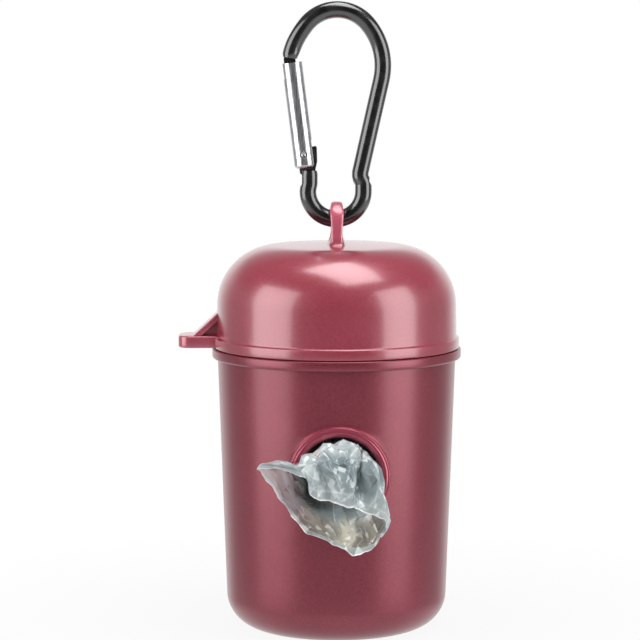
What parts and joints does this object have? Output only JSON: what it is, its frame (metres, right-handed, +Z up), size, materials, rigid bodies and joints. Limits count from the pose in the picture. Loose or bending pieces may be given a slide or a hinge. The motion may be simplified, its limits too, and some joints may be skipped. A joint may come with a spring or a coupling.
{
  "type": "dog poop bag dispenser",
  "caption": "Pocket dispenser for a roll of pet waste bags: a moulded cup with a round bag outlet, a lift-off dome lid with a thumb tab and an eye, and a carabiner with a sprung gate.",
  "frame": {"origin": "centre of the container's foot, on the plane it stands on", "axes": "+Z up through the lid and the carabiner, the bag outlet faces -Y, the thumb tab and the carabiner's gate are on the -X side"},
  "size_m": [0.0531, 0.0536, 0.1175],
  "materials": {
    "cup_plastic": "satin pearl",
    "lid_plastic": "gloss",
    "black_anodised": "glossy black anodised",
    "bare_aluminium": "bright drawn",
    "rivet_steel": "plain",
    "plunger_steel": "plain",
    "spring_steel": "drawn wire",
    "core_card": "matt",
    "roll_film": "wound film",
    "bag_film": "translucent film"
  },
  "bodies": {
    "container": {"container": "cup_plastic"},
    "lid": {"lid": "lid_plastic"},
    "carabiner": {"carabiner_frame": "black_anodised"},
    "gate": {"carabiner_gate": "bare_aluminium", "gate_rivet": "rivet_steel", "gate_spring": "spring_steel"},
    "plunger": {"gate_plunger": "plunger_steel"},
    "roll": {"roll_core": "core_card", "bag_roll": "roll_film"},
    "bag": {"bag_tail": "bag_film"}
  },
  "joints": [
    {"name": "lid_lift", "type": "slide", "parent": "container", "child": "lid", "axis": [0, 0, 1], "range_m": [0, 0.03]},
    {"name": "carabiner_swing", "type": "hinge", "parent": "lid", "child": "carabiner", "pos_m": [0, 0, 0.0764], "axis": [1, 0, 0], "range_deg": [-100, 100]},
    {"name": "gate_pivot", "type": "hinge", "parent": "carabiner", "child": "gate", "pos_m": [-0.0062, 0, 0.08911], "axis": [0, 1, 0], "range_deg": [0, 30], "stiffness_Nm_per_rad": 0.005, "springref_deg": -68.75},
    {"name": "plunger_slide", "type": "slide", "parent": "gate", "child": "plunger", "axis": [-0.1251, 0, 0.9921], "range_m": [0, 0.00083], "deforming": ["gate_spring"]},
    {"name": "roll_spin", "type": "hinge", "parent": "container", "child": "roll", "pos_m": [0, 0, 0.0321], "axis": [0, 0, 1], "range_deg": [0, 116]},
    {"name": "bag_pull", "type": "slide", "parent": "container", "child": "bag", "axis": [0, -1, 0], "range_m": [0, 0.032]}
  ],
  "couplings": [
    {"joint": "gate_pivot", "follows": "plunger_slide", "rad_per_m": 625},
    {"joint": "bag_pull", "follows": "roll_spin", "m_per_rad": 0.0155}
  ]
}
